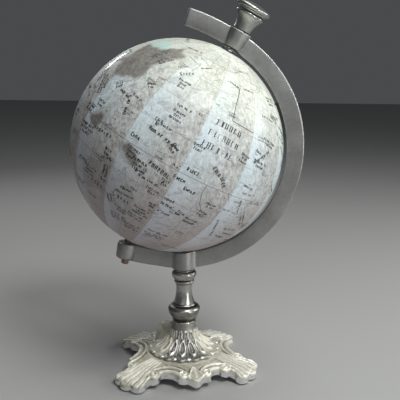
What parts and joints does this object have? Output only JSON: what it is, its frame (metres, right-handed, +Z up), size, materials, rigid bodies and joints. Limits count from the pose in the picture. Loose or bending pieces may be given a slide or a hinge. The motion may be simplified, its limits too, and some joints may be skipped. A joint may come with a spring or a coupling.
{
  "type": "desk globe",
  "caption": "Small globe with printed map gores turning on a leaning axis in a flat C-shaped metal arm, on a turned column and a cast scrolled base.",
  "frame": {"origin": "on the table, under the centre of the outline's bounding box; the column's axis is at X = -2.15 mm and the ball's centre at X = -7.25 mm, Z = 167.8 mm", "axes": "+Z up; the stand's front faces -Y; the arm lies in the XZ plane and the ball's axis leans 29 degrees towards +X"},
  "size_m": [0.1664, 0.152, 0.2706],
  "materials": {
    "plate_metal": "cast white metal, worn cream and silver patina",
    "skirt_metal": "cast, dark antique pewter with bright rubbed edges",
    "turned_metal": "polished antique pewter, dark in the grooves",
    "arm_metal": "brushed grey flat bar with bright eased edges",
    "finial_metal": "satin turned metal",
    "rod_steel": "plain zinc plated steel",
    "screw_copper": "dull pinkish brown plated screw",
    "felt": "dark green felt",
    "board": "pressed board",
    "map_paper": "printed map paper in gores under glossy varnish",
    "bush_brass": "plain",
    "washer_black": "blue black with a bright rim",
    "nylon": "natural",
    "rubber_black": "matt"
  },
  "bodies": {
    "stand": {"base_plate": "plate_metal", "foot_pads": "felt", "petal_skirt": "skirt_metal", "column_ring": "turned_metal", "column_bulb": "turned_metal", "column_shaft": "turned_metal", "column_head": "turned_metal", "tie_rod": "rod_steel", "base_washer": "rod_steel", "base_nut": "rod_steel"},
    "arm": {"arm": "arm_metal"},
    "globe": {"globe_north": "board", "globe_south": "board", "joint_band": "board", "gores": "map_paper", "pole_papers": "map_paper", "north_bush": "bush_brass", "south_bush": "bush_brass", "pole_washer": "washer_black", "north_spacer": "nylon"},
    "finial": {"finial_knob": "finial_metal", "finial_cap": "finial_metal", "knob_washer": "rubber_black", "north_pin": "rod_steel"},
    "pivot_screw": {"south_screw": "screw_copper"}
  },
  "joints": [
    {"name": "arm_turn", "type": "hinge", "parent": "stand", "child": "arm", "pos_m": [-0.00215, 0, 0.0765], "axis": [0, 0, 1], "range_deg": [-90, 90]},
    {"name": "globe_spin", "type": "hinge", "parent": "arm", "child": "globe", "pos_m": [-0.00725, 0, 0.1678], "axis": [0.4848, 0, 0.8746], "continuous": true},
    {"name": "finial_turn", "type": "hinge", "parent": "arm", "child": "finial", "pos_m": [0.03745, 0, 0.24844], "axis": [0.4848, 0, 0.8746], "continuous": true},
    {"name": "pivot_screw_turn", "type": "hinge", "parent": "arm", "child": "pivot_screw", "pos_m": [-0.04351, 0, 0.10238], "axis": [0.1564, 0, 0.9877], "continuous": true}
  ]
}
